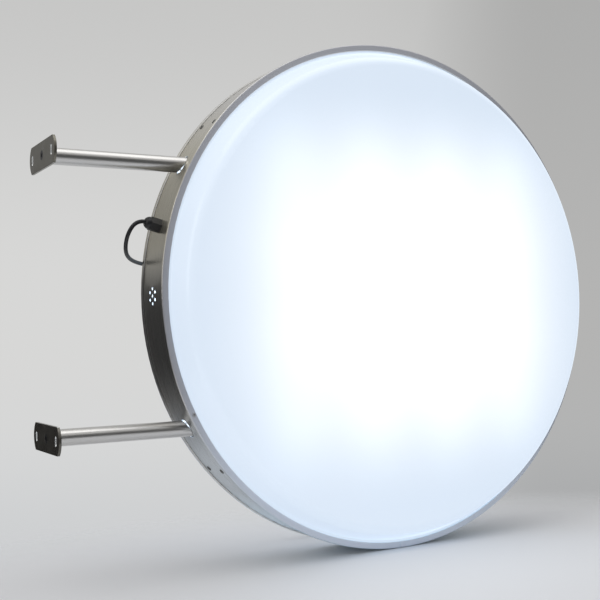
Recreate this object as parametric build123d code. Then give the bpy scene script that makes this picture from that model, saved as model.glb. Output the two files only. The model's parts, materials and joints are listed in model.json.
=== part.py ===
from build123d import *
import math
import os

# A round, double-sided, internally lit projecting sign, in millimetres.
# Origin: on the wall, midway between the two wall plates.
# +X runs from the wall to the sign, +Y from the front face to the rear face, +Z up.

# ---- Light box: overall sizes -----------------------------------------------------------
DISC_RADIUS = 325.0          # outside of the rims
BOX_DEPTH = 67.0             # over the two rims
WALL_TO_CENTRE = 450.0       # wall to the disc's axis

# ---- Side band and the rings that carry the faces ---------------------------------------
BAND_SHEET = 0.8             # stainless strip
SEAT_WIDTH = 10.75           # flat ring welded into the band, radially
SEAT_THICKNESS = 3.0
WELD_GAP = 0.05              # drawn between pieces of one body that are welded or pressed together

# ---- Rims ---------------------------------------------------------------------------------
RIM_FACE_WIDTH = 8.4         # what shows beside the face
RIM_SHEET = 1.6
RIM_SKIRT = 5.5              # how far the rim laps over the band
RIM_OUTER_ROUND = 2.0
RIM_LIP_ROUND = 0.5
RIM_PLAY = 0.3               # rim skirt to band, and rim to the band's edge
RIM_SEAM_GAP = 0.4           # butt joint of the rolled rim
RIM_SEAM_ANGLE = 269.0       # at the bottom of the disc
RIM_SCREW_ANGLES = (205.6, 25.6)
RIM_SCREW_INSET = 5.6        # from the rim's outside to the screw's axis
RIM_SCREW_RADIUS = 1.5
RIM_SCREW_HEAD_RADIUS = 2.7
RIM_SCREW_LENGTH = 10.0
RIM_SCREW_RECESS_RADIUS = 1.0
RIM_SCREW_RECESS_DEPTH = 1.0

# ---- Opal faces, blister formed -----------------------------------------------------------
FACE_SHEET = 2.5
FACE_RISE = 27.0             # rim's front to the shoulder
FACE_FOOT_ROUND = 4.0        # where the flange turns up into the wall
FACE_SHOULDER_ROUND = 14.0
FACE_WALL_ANGLE = 65.0       # the blister's wall, from flat
FACE_CROWN_ANGLE = 1.5       # slope of the slightly crowned front at its edge
FACE_FLANGE_PLAY = 0.8       # flange's edge to the inside of the band
GASKET_THICKNESS = 1.5
GASKET_INSET = 0.6           # gasket's edges in from the flange's and the seat's edges
SEAT_PLAY = 0.1              # gasket of a closed cover to its seat

# ---- Arms and wall plates -----------------------------------------------------------------
ARM_SPACING = 312.0
ARM_RADIUS = 9.5
ARM_WALL = 1.5
ARM_HOLE_PLAY = 1.5          # round the arm where it passes the band
INSERT_LENGTH = 25.0
PLATE_LENGTH = 100.0
PLATE_HEIGHT = 31.0
PLATE_THICKNESS = 3.0
PLATE_END_RADIUS = 20.0      # bowed ends
PLATE_EDGE_ROUND = 0.4
SLOT_SPACING = 76.0
SLOT_WIDTH = 5.5
SLOT_LENGTH = 11.0
SWIVEL_PLAY = 0.1            # wall plate to arm end and to its screw
PLATE_SCREW_RADIUS = 3.0
PLATE_SCREW_HEAD_RADIUS = 5.4
PLATE_SCREW_LENGTH = 22.0
PLATE_SCREW_SOCKET = 4.0     # across flats
PLATE_SCREW_SOCKET_DEPTH = 2.2
ARM_BOLT_RADIUS = 4.0
ARM_BOLT_LENGTH = 20.0
ARM_BOLT_HEAD = 13.0         # across flats
ARM_BOLT_HEAD_HEIGHT = 5.3
WASHER_RADIUS = 8.0
WASHER_THICKNESS = 1.6
THREAD_GAP = 0.05            # drawn between a screw and its thread or press hole
HOLE_PLAY = 0.2              # round a screw or rivet in a clearance hole

# ---- Mounting rail inside the box ---------------------------------------------------------
RAIL_WIDTH = 48.0
RAIL_THICKNESS = 4.0
RAIL_FOOT_ANGLE = 40.0       # feet above and below the middle of the arms' side
RAIL_FOOT_LENGTH = 30.0
RAIL_BEND_RADIUS = 6.0       # to the middle of the bar
RAIL_RIVET_SPACING = 36.0

# ---- Blind rivets -------------------------------------------------------------------------
RIVET_RADIUS = 1.6
RIVET_HEAD_RADIUS = 3.2
RIVET_HEAD_HEIGHT = 1.1
RIVET_HOLE_RADIUS = 0.9
RIVET_BULB_RADIUS = 2.5
RIVET_BULB_LENGTH = 2.5

# ---- Vents --------------------------------------------------------------------------------
VENT_RADIUS = 2.0
VENT_CIRCLE = 8.7
VENT_COUNT = 6               # round one more in the middle

# ---- Cable gland --------------------------------------------------------------------------
GLAND_ANGLE = 165.3          # round the disc, from the side away from the wall
GLAND_HEX = 15.0             # across flats
GLAND_FLANGE = 4.0
GLAND_THREAD_RADIUS = 6.0
GLAND_SHANK = 7.0            # inside the band
GLAND_COLLAR_RADIUS = 5.7
GLAND_COLLAR = 5.0
GLAND_BORE_RADIUS = 3.5
GLAND_NUT_SKIRT = 8.6        # hexagonal part of the dome nut
GLAND_NUT_END_RADIUS = 4.4   # flat end of its dome
GLAND_SEAL_RADIUS = 4.6
GLAND_SEAL_LENGTH = 4.0
LOCK_NUT_HEX = 17.0
LOCK_NUT_THICKNESS = 4.0

# ---- Carrier panel ------------------------------------------------------------------------
PANEL_THICKNESS = 2.0
PANEL_MARGIN = 8.0           # panel's edge to the inside of the band
PANEL_RAIL_GAP = 2.3         # panel's edge to the rail
PANEL_NOTCH_GAP = 4.0        # round the driver
BRACKET_THICKNESS = 2.0
BRACKET_WIDTH = 24.0
BRACKET_LEG = 18.0           # the leg on the rail or on the band
BRACKET_ARM = 22.0           # the leg on the panel
UPPER_BRACKET_DROP = 44.0    # below the upper arm's bolt
LOWER_BRACKET_RISE = 24.0    # above the lower arm's bolt
EDGE_BRACKET_ANGLES = (60.0, 0.0, -60.0)
SMALL_SCREW_RADIUS = 2.0
SMALL_SCREW_HEAD_RADIUS = 3.6
SMALL_SCREW_HEAD_HEIGHT = 2.4
SMALL_NUT_HEX = 7.0
SMALL_NUT_THICKNESS = 3.2
SMALL_SCREW_TAIL = 1.0       # beyond its nut

# ---- LED strips ---------------------------------------------------------------------------
STRIP_PITCH = 114.0
STRIPS_PER_SIDE = 4
STRIP_WIDTH = 20.0
STRIP_LENGTH = 350.0
STRIP_THICKNESS = 1.6
LEDS_PER_STRIP = 4
LED_END_GAP = 19.0           # strip's end to the middle of its last LED
CHIP_SIZE = 3.5
CHIP_THICKNESS = 0.9
LENS_RADIUS = 10.0
LENS_HEIGHT = 8.5
LENS_BRIM = 1.2
LENS_POCKET_RADIUS = 3.2
LENS_POCKET_HEIGHT = 3.4
PUSH_RIVET_RADIUS = 1.6
PUSH_RIVET_HEAD_RADIUS = 3.2
PUSH_RIVET_HEAD_HEIGHT = 1.2
CONNECTOR_LENGTH = 14.0
CONNECTOR_WIDTH = 12.0
CONNECTOR_HEIGHT = 4.0
CONNECTOR_OVERHANG = 6.0     # past the strip's lower end
BUS_LEAD_RADIUS = 1.5
BUS_LEAD_LIFT = 0.7          # above the panel
BUS_LEAD_GAP = 0.5           # below the connectors
BUS_LEAD_BEND = 15.0
BUS_LEAD_CORNER = 17.0       # from where it turns under the strips to the first connector
BUS_LEAD_DROP = 16.0         # straight down out of the driver

# ---- LED driver ---------------------------------------------------------------------------
DRIVER_LENGTH = 120.0
DRIVER_WIDTH = 40.0
DRIVER_HEIGHT = 26.0
DRIVER_WALL = 1.5
DRIVER_TOP = 30.0            # its upper end, above the disc's middle
DRIVER_CAP = 3.0
DRIVER_FOOT = 12.0           # flat mounting ear at each end
DRIVER_FOOT_THICKNESS = 2.0
DRIVER_BOARD_THICKNESS = 1.6
DRIVER_BOARD_LIFT = 4.0
DRIVER_BOARD_PLAY = 0.5      # to the case's sides
DRIVER_BOARD_END_GAP = 6.0   # between the lead's end and the board
TRANSFORMER_LENGTH = 22.0
TRANSFORMER_WIDTH = 22.0
TRANSFORMER_DROP = 3.0       # its middle below the board's middle
PART_HEAD_GAP = 2.0          # tallest parts to the case
CAPACITORS = ((20.0, 5.5), (-28.0, 5.0), (-42.0, 4.0))  # from the board's middle, radius
CAPACITOR_SIDE = 8.0
CHOKE_SIZE = 12.0
CHOKE_HEIGHT = 5.0
LEAD_ENTRY = 6.0             # from the driver's outer face to its leads
SUPPLY_BEND = 24.0
GROMMET_RADIUS = 7.0
GROMMET_GROOVE = 1.5
GROMMET_LIP = 1.5

# ---- Mains lead and plug ------------------------------------------------------------------
LEAD_RADIUS = 2.4
LEAD_LENGTH = 1800.0
COIL_CENTRE = (480.0, 130.0)
COIL_MIDDLE_RADIUS = 28.0
COIL_PITCH = 5.0             # one turn beside the next
COIL_LAYER_TURNS = (3, 2, 1)  # from the table up
COIL_LAYER = 4.9             # one layer above the next
COIL_SLACK = 0.4             # coil's outer shape beyond its turns
PLUG_LENGTH = 36.0
PLUG_WIDTH = 35.0
PLUG_THICKNESS = 13.6
PLUG_NECK_WIDTH = 16.0
PLUG_PIN_RADIUS = 2.0
PLUG_PIN_LENGTH = 19.0
PLUG_PIN_SPACING = 19.0
PLUG_PIN_ROOT = 8.0          # inside the plug
PLUG_PIN_ROOT_RADIUS = 1.7
PLUG_PIN_SHOULDER = 0.3      # plug's face to where the pin has its full size
RELIEF_LENGTH = 28.0
RELIEF_END_RADIUS = 3.4
RELIEF_ROOT_RADIUS = 5.2

# ---- Worked out from the above ------------------------------------------------------------
HALF_DEPTH = BOX_DEPTH / 2
RIM_INNER = DISC_RADIUS - RIM_FACE_WIDTH
RIM_UNDER = HALF_DEPTH - RIM_SHEET
BAND_OUTER = DISC_RADIUS - RIM_SHEET - RIM_PLAY
BAND_INNER = BAND_OUTER - BAND_SHEET
BAND_EDGE = RIM_UNDER - RIM_PLAY
FACE_UNDER = RIM_UNDER - FACE_SHEET
GASKET_UNDER = FACE_UNDER - GASKET_THICKNESS
SEAT_TOP = GASKET_UNDER - SEAT_PLAY
SEAT_OUTER = BAND_INNER - WELD_GAP
SEAT_INNER = SEAT_OUTER - SEAT_WIDTH
FLANGE_OUTER = BAND_INNER - FACE_FLANGE_PLAY
RIM_SCREW_CIRCLE = DISC_RADIUS - RIM_SCREW_INSET
ARM_HEIGHT = ARM_SPACING / 2
RAIL_BRACKET_HEIGHTS = (ARM_HEIGHT - UPPER_BRACKET_DROP, LOWER_BRACKET_RISE - ARM_HEIGHT)
PANEL_FACE = PANEL_THICKNESS / 2
PANEL_RADIUS = BAND_INNER - PANEL_MARGIN
FLOOR = -DISC_RADIUS         # what the disc would stand on, below the arms' middle
STRIP_COLUMNS = [(number - (STRIPS_PER_SIDE - 1) / 2) * STRIP_PITCH for number in range(STRIPS_PER_SIDE)]
LED_PITCH = (STRIP_LENGTH - 2 * LED_END_GAP) / (LEDS_PER_STRIP - 1)
LED_HEIGHTS = [(number - (LEDS_PER_STRIP - 1) / 2) * LED_PITCH for number in range(LEDS_PER_STRIP)]
PUSH_RIVET_HEIGHTS = [height + LED_PITCH / 2 for height in LED_HEIGHTS[:-1]]

SIGN = Plane(origin=(WALL_TO_CENTRE, 0, 0), x_dir=(1, 0, 0), z_dir=(0, -1, 0)).location
BASE = (Align.CENTER, Align.CENTER, Align.MIN)


# ---- Helpers ------------------------------------------------------------------------------
# The light box is drawn about its own axis: x away from the wall, y up, z to the front.

def turned(outline):
    """A solid of revolution about z from an outline of (radius, height) corners."""
    return revolve(Plane.XZ * make_face(Polyline(*outline, close=True)), Axis.Z)


def ring(inner, outer, low, high):
    return turned([(inner, low), (outer, low), (outer, high), (inner, high)])


def rod(radius, low, high):
    return Pos(0, 0, low) * Cylinder(radius, high - low, align=BASE)


def hexagon(across_flats, low, high):
    flat = RegularPolygon(across_flats / 2, 6, major_radius=False)
    return Pos(0, 0, low) * extrude(flat, high - low)


def block(low, high):
    size = [b - a for a, b in zip(low, high)]
    return Pos(*low) * Box(*size, align=(Align.MIN, Align.MIN, Align.MIN))


def outward(angle, distance, height=0.0):
    """A place at an angle round the disc, with its own z pointing away from the disc's axis."""
    turn = math.radians(angle)
    away = Vector(math.cos(turn), math.sin(turn), 0)
    return Plane(origin=away * distance + Vector(0, 0, height), x_dir=(0, 0, 1), z_dir=away).location


def sagitta(radius, half_width):
    """How far a flat piece of this half width stands off the curve it lies against."""
    return radius - math.sqrt(radius ** 2 - half_width ** 2)


def countersunk(radius, head_radius, length):
    """A countersunk screw with its flush top at z = 0, pointing down."""
    depth = head_radius - radius
    return turned([(0, 0), (head_radius, 0), (radius, -depth), (radius, -length), (0, -length)])


def countersunk_hole(radius, head_radius, play, depth):
    """What a countersunk screw of that size needs cut away, play wider all round."""
    top = head_radius + play
    low = radius + play
    return turned([(0, play), (top + play, play), (low, low - top), (low, -depth), (0, -depth)])


def blind_rivet(grip):
    """A blind rivet with its head on z = 0, through grip millimetres of sheet below it."""
    head = RIVET_HEAD_HEIGHT
    outline = [
        (RIVET_HOLE_RADIUS, 0), (RIVET_HOLE_RADIUS, head), (RIVET_HEAD_RADIUS * 0.7, head),
        (RIVET_HEAD_RADIUS, head * 0.4), (RIVET_HEAD_RADIUS, 0), (RIVET_RADIUS, 0),
        (RIVET_RADIUS, -grip), (RIVET_BULB_RADIUS, -grip),
        (RIVET_BULB_RADIUS, -grip - RIVET_BULB_LENGTH), (0, -grip - RIVET_BULB_LENGTH), (0, 0),
    ]
    return turned(outline)


def small_screw(grip):
    """A pan head screw with its head on z = 0, through grip millimetres, and its nut."""
    tail = grip + SMALL_NUT_THICKNESS + SMALL_SCREW_TAIL
    outline = [
        (0, SMALL_SCREW_HEAD_HEIGHT), (SMALL_SCREW_HEAD_RADIUS * 0.7, SMALL_SCREW_HEAD_HEIGHT),
        (SMALL_SCREW_HEAD_RADIUS, SMALL_SCREW_HEAD_HEIGHT * 0.5), (SMALL_SCREW_HEAD_RADIUS, 0),
        (SMALL_SCREW_RADIUS, 0), (SMALL_SCREW_RADIUS, -tail), (0, -tail),
    ]
    nut = hexagon(SMALL_NUT_HEX, -grip - SMALL_NUT_THICKNESS, -grip)
    nut -= rod(SMALL_SCREW_RADIUS + THREAD_GAP, -tail, 0)
    return [turned(outline), nut]


def placed(location, shapes):
    return [location * shape for shape in shapes]


def rear(shape):
    """The rear twin of a front piece."""
    return mirror(shape, about=Plane.XY)


# ---- Where the inner pieces lie -----------------------------------------------------------
def rail_line():
    """The middle of the bent mounting rail, from its upper foot to its lower foot."""
    turn = math.radians(180 - RAIL_FOOT_ANGLE)
    away = Vector(math.cos(turn), math.sin(turn))
    along = Vector(math.sin(turn), -math.cos(turn))
    half = RAIL_FOOT_LENGTH / 2
    seat = BAND_INNER - sagitta(BAND_INNER, half) - WELD_GAP - RAIL_THICKNESS / 2
    tip = away * seat + along * half
    knee = away * seat - along * half
    corners = [(tip.X, tip.Y), (knee.X, knee.Y), (knee.X, -knee.Y), (tip.X, -tip.Y)]
    return FilletPolyline(*corners, radius=RAIL_BEND_RADIUS), knee.X


RAIL_PATH, RAIL_MIDDLE = rail_line()
RAIL_WALL_SIDE = RAIL_MIDDLE - RAIL_THICKNESS / 2
RAIL_INNER_SIDE = RAIL_MIDDLE + RAIL_THICKNESS / 2
GLAND_SLOPE = math.tan(math.radians(180 - GLAND_ANGLE))
GLAND_DOME_RADIUS = GLAND_HEX / 2
GLAND_DOME = math.sqrt(GLAND_DOME_RADIUS ** 2 - GLAND_NUT_END_RADIUS ** 2)
GLAND_REACH = GLAND_FLANGE + THREAD_GAP + GLAND_NUT_SKIRT + GLAND_DOME
LEAD_START = BAND_OUTER + GLAND_REACH
ENTRY_X = RAIL_INNER_SIDE + DRIVER_HEIGHT - LEAD_ENTRY
SUPPLY_HOLE_Y = -RAIL_MIDDLE * GLAND_SLOPE
DRIVER_LOW = DRIVER_TOP - DRIVER_LENGTH
BUS_Z = PANEL_FACE + BUS_LEAD_LIFT + BUS_LEAD_RADIUS
BUS_Y = -STRIP_LENGTH / 2 - CONNECTOR_OVERHANG - BUS_LEAD_GAP - BUS_LEAD_RADIUS
ARM_START = PLATE_THICKNESS + SWIVEL_PLAY
ARM_END = WALL_TO_CENTRE + RAIL_WALL_SIDE


# ---- Box: band, seats, rims, gaskets, faces -----------------------------------------------
def vent_holes():
    holes = [(0.0, 0.0)]
    for number in range(VENT_COUNT):
        turn = math.radians(360 / VENT_COUNT * number)
        holes.append((VENT_CIRCLE * math.sin(turn), VENT_CIRCLE * math.cos(turn)))
    reach = 4 * BAND_SHEET
    return [Pos(0, y, z) * outward(180, BAND_OUTER) * rod(VENT_RADIUS, -reach, reach) for z, y in holes]


def rail_rivet_places():
    angles = (180 - RAIL_FOOT_ANGLE, 180 + RAIL_FOOT_ANGLE)
    return [(angle, side * RAIL_RIVET_SPACING / 2) for angle in angles for side in (1, -1)]


def edge_rivet_places():
    height = PANEL_FACE + BRACKET_THICKNESS + (BRACKET_LEG - BRACKET_THICKNESS) / 2
    return [(angle, height) for angle in EDGE_BRACKET_ANGLES]


def side_band():
    band = ring(BAND_INNER, BAND_OUTER, -BAND_EDGE, BAND_EDGE)
    for side in (1, -1):
        start = Pos(-BAND_OUTER, side * ARM_HEIGHT, 0) * Rot(0, 90, 0)
        band -= start * rod(ARM_RADIUS + ARM_HOLE_PLAY, 0, BAND_OUTER / 2)
    for hole in vent_holes():
        band -= hole
    for angle, height in rail_rivet_places() + edge_rivet_places():
        band -= outward(angle, BAND_OUTER, height) * rod(RIVET_RADIUS + HOLE_PLAY, -4 * BAND_SHEET, BAND_SHEET)
    band -= outward(GLAND_ANGLE, BAND_OUTER) * rod(GLAND_THREAD_RADIUS + HOLE_PLAY, -4 * BAND_SHEET, BAND_SHEET)
    return band


def rim_screw_places(height):
    places = []
    for angle in RIM_SCREW_ANGLES:
        turn = math.radians(angle)
        x, y = RIM_SCREW_CIRCLE * math.cos(turn), RIM_SCREW_CIRCLE * math.sin(turn)
        places.append(Pos(x, y, height))
    return places


def rim_screw_cut(low, high, play):
    return [place * rod(RIM_SCREW_RADIUS + play, low, high) for place in rim_screw_places(0)]


def seat_ring():
    seat = ring(SEAT_INNER, SEAT_OUTER, SEAT_TOP - SEAT_THICKNESS, SEAT_TOP)
    for cut in rim_screw_cut(SEAT_TOP - 2 * SEAT_THICKNESS, SEAT_TOP + SEAT_THICKNESS, 2 * THREAD_GAP):
        seat -= cut
    return seat


def rim():
    skirt_end = HALF_DEPTH - RIM_SKIRT
    outline = make_face(Polyline(
        (RIM_INNER, RIM_UNDER), (RIM_INNER, HALF_DEPTH), (DISC_RADIUS, HALF_DEPTH),
        (DISC_RADIUS, skirt_end), (DISC_RADIUS - RIM_SHEET, skirt_end),
        (DISC_RADIUS - RIM_SHEET, RIM_UNDER), close=True,
    ))
    top = outline.vertices().group_by(Axis.Y)[-1].sort_by(Axis.X)
    outline = fillet(top[-1], RIM_OUTER_ROUND)
    top = outline.vertices().group_by(Axis.Y)[-1].sort_by(Axis.X)
    outline = fillet(top[0], RIM_LIP_ROUND)
    body = revolve(Plane.XZ * outline, Axis.Z)
    half_gap = RIM_SEAM_GAP / 2
    seam = block((RIM_INNER - RIM_SHEET, -half_gap, 0), (DISC_RADIUS + RIM_SHEET, half_gap, BOX_DEPTH))
    body -= Rot(0, 0, RIM_SEAM_ANGLE) * seam
    cut = countersunk_hole(RIM_SCREW_RADIUS, RIM_SCREW_HEAD_RADIUS, THREAD_GAP, 2 * RIM_SHEET)
    for place in rim_screw_places(HALF_DEPTH):
        body -= place * cut
    return body


def rim_screws():
    screw = countersunk(RIM_SCREW_RADIUS, RIM_SCREW_HEAD_RADIUS, RIM_SCREW_LENGTH)
    screw -= rod(RIM_SCREW_RECESS_RADIUS, -RIM_SCREW_RECESS_DEPTH, RIM_SCREW_RECESS_DEPTH)
    return [place * screw for place in rim_screw_places(HALF_DEPTH)]


def gasket():
    body = ring(SEAT_INNER + GASKET_INSET, FLANGE_OUTER - GASKET_INSET, GASKET_UNDER, FACE_UNDER)
    for cut in rim_screw_cut(GASKET_UNDER - GASKET_THICKNESS, FACE_UNDER + GASKET_THICKNESS, HOLE_PLAY):
        body -= cut
    return body


def blister_line(depth):
    """One surface of the formed face, depth below its outside: (start, curve) from flange to crown."""
    wall = math.radians(FACE_WALL_ANGLE)
    crown = math.radians(FACE_CROWN_ANGLE)
    foot_centre = (RIM_INNER, RIM_UNDER + FACE_FOOT_ROUND)
    shoulder_z = HALF_DEPTH + FACE_RISE
    foot_rise = FACE_FOOT_ROUND * (1 - math.cos(wall))
    shoulder_rise = FACE_SHOULDER_ROUND * (math.cos(crown) - math.cos(wall))
    wall_length = (shoulder_z - RIM_UNDER - foot_rise - shoulder_rise) / math.sin(wall)
    wall_top_r = RIM_INNER - FACE_FOOT_ROUND * math.sin(wall) - wall_length * math.cos(wall)
    wall_top_z = RIM_UNDER + foot_rise + wall_length * math.sin(wall)
    shoulder_centre = (
        wall_top_r - FACE_SHOULDER_ROUND * math.sin(wall),
        wall_top_z - FACE_SHOULDER_ROUND * math.cos(wall),
    )
    crown_radius = (shoulder_centre[0] + FACE_SHOULDER_ROUND * math.sin(crown)) / math.sin(crown)
    crown_centre = (0, shoulder_z - crown_radius * math.cos(crown))

    def on(centre, radius, angle):
        return (centre[0] + radius * math.sin(angle), centre[1] + radius * math.cos(angle))

    foot = FACE_FOOT_ROUND + depth
    shoulder = FACE_SHOULDER_ROUND - depth
    dome = crown_radius - depth
    flat = math.pi
    a, b, c = (on(foot_centre, foot, angle) for angle in (flat, flat + wall / 2, flat + wall))
    d, e, f = (on(shoulder_centre, shoulder, angle) for angle in (wall, (wall + crown) / 2, crown))
    g, h, i = (on(crown_centre, dome, angle) for angle in (crown, crown / 2, 0))
    curve = [ThreePointArc(a, b, c), Line(c, d), ThreePointArc(d, e, f), ThreePointArc(g, h, i)]
    return a, i, curve


def face():
    start, top, outside = blister_line(0)
    inner_start, inner_top, inside = blister_line(FACE_SHEET)
    flange = [
        Line(start, (FLANGE_OUTER, RIM_UNDER)),
        Line((FLANGE_OUTER, RIM_UNDER), (FLANGE_OUTER, FACE_UNDER)),
        Line((FLANGE_OUTER, FACE_UNDER), inner_start),
        Line(top, inner_top),
    ]
    body = revolve(Plane.XZ * make_face(outside + inside + flange), Axis.Z)
    for cut in rim_screw_cut(FACE_UNDER - FACE_SHEET, RIM_UNDER + FACE_SHEET, HOLE_PLAY):
        body -= cut
    return body


# ---- Mounting rail and its fixings --------------------------------------------------------
def mounting_rail():
    start = Plane(origin=RAIL_PATH @ 0, x_dir=(0, 0, 1), z_dir=RAIL_PATH % 0)
    rail = sweep(start * Rectangle(RAIL_WIDTH, RAIL_THICKNESS), RAIL_PATH)
    through = 2 * RAIL_THICKNESS
    for angle, height in rail_rivet_places():
        rail -= outward(angle, BAND_INNER, height) * rod(RIVET_RADIUS + HOLE_PLAY, -through, through)
    across = Pos(RAIL_MIDDLE, 0, 0) * Rot(0, 90, 0)
    for side in (1, -1):
        rail -= Pos(0, side * ARM_HEIGHT, 0) * across * rod(ARM_BOLT_RADIUS + HOLE_PLAY, -through, through)
    rail -= Pos(0, SUPPLY_HOLE_Y, 0) * across * rod(GROMMET_RADIUS - GROMMET_GROOVE, -through, through)
    for y, z in rail_screw_places():
        rail -= Pos(0, y, z) * across * rod(SMALL_SCREW_RADIUS + HOLE_PLAY, -through, through)
    return rail


def rail_rivets():
    half = RAIL_FOOT_LENGTH / 2
    grip = BAND_SHEET + sagitta(BAND_INNER, half) + WELD_GAP + RAIL_THICKNESS
    return [outward(angle, BAND_OUTER, height) * blind_rivet(grip) for angle, height in rail_rivet_places()]


def rail_bracket_screw_z():
    return PANEL_FACE + BRACKET_THICKNESS + (BRACKET_LEG - BRACKET_THICKNESS) / 2


def driver_screw_heights():
    return (DRIVER_TOP + DRIVER_FOOT / 2, DRIVER_LOW - DRIVER_FOOT / 2)


def rail_screw_places():
    brackets = [(y, rail_bracket_screw_z()) for y in RAIL_BRACKET_HEIGHTS]
    return brackets + [(y, 0) for y in driver_screw_heights()]


def rail_grommet():
    groove = GROMMET_RADIUS - GROMMET_GROOVE - WELD_GAP
    half = RAIL_THICKNESS / 2 + WELD_GAP
    tall = half + GROMMET_LIP
    slant = tall * GLAND_SLOPE
    bore = LEAD_RADIUS + slant + HOLE_PLAY
    outline = [
        (bore, -tall), (GROMMET_RADIUS, -tall), (GROMMET_RADIUS, -half), (groove, -half),
        (groove, half), (GROMMET_RADIUS, half), (GROMMET_RADIUS, tall), (bore, tall),
    ]
    return Pos(RAIL_MIDDLE, SUPPLY_HOLE_Y, 0) * Rot(0, 90, 0) * turned(outline)


# ---- Cable gland, drawn with its own z outward and z = 0 on the band ----------------------
def gland_body():
    body = hexagon(GLAND_HEX, 0, GLAND_FLANGE)
    body += rod(GLAND_THREAD_RADIUS, -BAND_SHEET - GLAND_SHANK, 0)
    body += rod(GLAND_COLLAR_RADIUS, GLAND_FLANGE, GLAND_FLANGE + GLAND_COLLAR)
    return body - rod(GLAND_BORE_RADIUS, -2 * GLAND_REACH, 2 * GLAND_REACH)


def gland_dome_nut():
    low = GLAND_FLANGE + THREAD_GAP
    knee = low + GLAND_NUT_SKIRT
    dome = Pos(0, 0, knee) * Sphere(GLAND_DOME_RADIUS) & rod(GLAND_HEX, knee, GLAND_REACH)
    collar_end = GLAND_FLANGE + GLAND_COLLAR + THREAD_GAP
    seal_end = collar_end + GLAND_SEAL_LENGTH + THREAD_GAP
    nut = hexagon(GLAND_HEX, low, knee) + dome
    nut -= rod(GLAND_COLLAR_RADIUS + THREAD_GAP, 0, collar_end)
    nut -= rod(GLAND_SEAL_RADIUS + THREAD_GAP, 0, seal_end)
    return nut - rod(LEAD_RADIUS + THREAD_GAP, 0, 2 * GLAND_REACH)


def gland_seal():
    low = GLAND_FLANGE + GLAND_COLLAR + THREAD_GAP
    return ring(LEAD_RADIUS + THREAD_GAP, GLAND_SEAL_RADIUS, low, low + GLAND_SEAL_LENGTH)


def gland_lock_nut():
    corner = LOCK_NUT_HEX / 2 / math.cos(math.radians(30))
    top = -BAND_SHEET - sagitta(BAND_INNER, corner) - WELD_GAP
    nut = hexagon(LOCK_NUT_HEX, top - LOCK_NUT_THICKNESS, top)
    return nut - rod(GLAND_THREAD_RADIUS + THREAD_GAP, top - 2 * LOCK_NUT_THICKNESS, 0)


# ---- Carrier panel and brackets -----------------------------------------------------------
def panel_screw_places():
    reach = BRACKET_ARM / 2
    places = [(RAIL_INNER_SIDE + reach + BRACKET_THICKNESS, y) for y in RAIL_BRACKET_HEIGHTS]
    circle = (PANEL_RADIUS + BAND_INNER - BRACKET_ARM) / 2
    for angle in EDGE_BRACKET_ANGLES:
        turn = math.radians(angle)
        places.append((circle * math.cos(turn), circle * math.sin(turn)))
    return places


def push_rivet_places():
    return [(x, y) for x in STRIP_COLUMNS for y in PUSH_RIVET_HEIGHTS]


def carrier_panel():
    panel = rod(PANEL_RADIUS, -PANEL_FACE, PANEL_FACE)
    edge = RAIL_INNER_SIDE + PANEL_RAIL_GAP
    tall = DISC_RADIUS
    panel -= block((-tall, -tall, -tall), (edge, tall, tall))
    right = RAIL_INNER_SIDE + DRIVER_HEIGHT + PANEL_NOTCH_GAP
    top = SUPPLY_HOLE_Y + PANEL_NOTCH_GAP + LEAD_RADIUS
    low = DRIVER_LOW - DRIVER_FOOT - PANEL_NOTCH_GAP
    panel -= block((-tall, low, -tall), (right, top, tall))
    bolt_end = RAIL_INNER_SIDE + WASHER_THICKNESS + ARM_BOLT_HEAD_HEIGHT + PANEL_NOTCH_GAP
    bolt_side = WASHER_RADIUS + PANEL_NOTCH_GAP
    for y in (ARM_HEIGHT, -ARM_HEIGHT):
        panel -= block((-tall, y - bolt_side, -tall), (bolt_end, y + bolt_side, tall))
    for x, y in panel_screw_places():
        panel -= Pos(x, y, 0) * rod(SMALL_SCREW_RADIUS + HOLE_PLAY, -tall, tall)
    for x, y in push_rivet_places():
        panel -= Pos(x, y, 0) * rod(PUSH_RIVET_RADIUS + THREAD_GAP, -tall, tall)
    return panel


def bracket(screw_depth, arm_screw_reach):
    """An angle: x from the wall it is fixed to, z from the panel it carries, centred on y = 0."""
    half = BRACKET_WIDTH / 2
    leg = block((0, -half, 0), (BRACKET_THICKNESS, half, BRACKET_LEG))
    arm = block((0, -half, 0), (BRACKET_ARM, half, BRACKET_THICKNESS))
    hole = rod(SMALL_SCREW_RADIUS + HOLE_PLAY, -BRACKET_LEG, BRACKET_LEG)
    body = leg + arm
    body -= Pos(arm_screw_reach, 0, 0) * hole
    body -= Pos(0, 0, screw_depth) * Rot(0, 90, 0) * hole
    return body


def rail_brackets():
    depth = BRACKET_THICKNESS + (BRACKET_LEG - BRACKET_THICKNESS) / 2
    body = bracket(depth, BRACKET_ARM / 2 + BRACKET_THICKNESS)
    return [Pos(RAIL_INNER_SIDE, y, PANEL_FACE) * body for y in RAIL_BRACKET_HEIGHTS]


def edge_bracket_seat():
    """The radius of the flat back of an edge bracket, which stands against the band."""
    return BAND_INNER - sagitta(BAND_INNER, BRACKET_WIDTH / 2) - WELD_GAP


def edge_brackets():
    depth = BRACKET_THICKNESS + (BRACKET_LEG - BRACKET_THICKNESS) / 2
    seat = edge_bracket_seat()
    circle = (PANEL_RADIUS + BAND_INNER - BRACKET_ARM) / 2
    body = Pos(seat, 0, PANEL_FACE) * Rot(0, 0, 180) * bracket(depth, seat - circle)
    return [Rot(0, 0, angle) * body for angle in EDGE_BRACKET_ANGLES]


def edge_rivets():
    grip = BAND_OUTER - edge_bracket_seat() + BRACKET_THICKNESS
    return [outward(angle, BAND_OUTER, height) * blind_rivet(grip) for angle, height in edge_rivet_places()]


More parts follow.
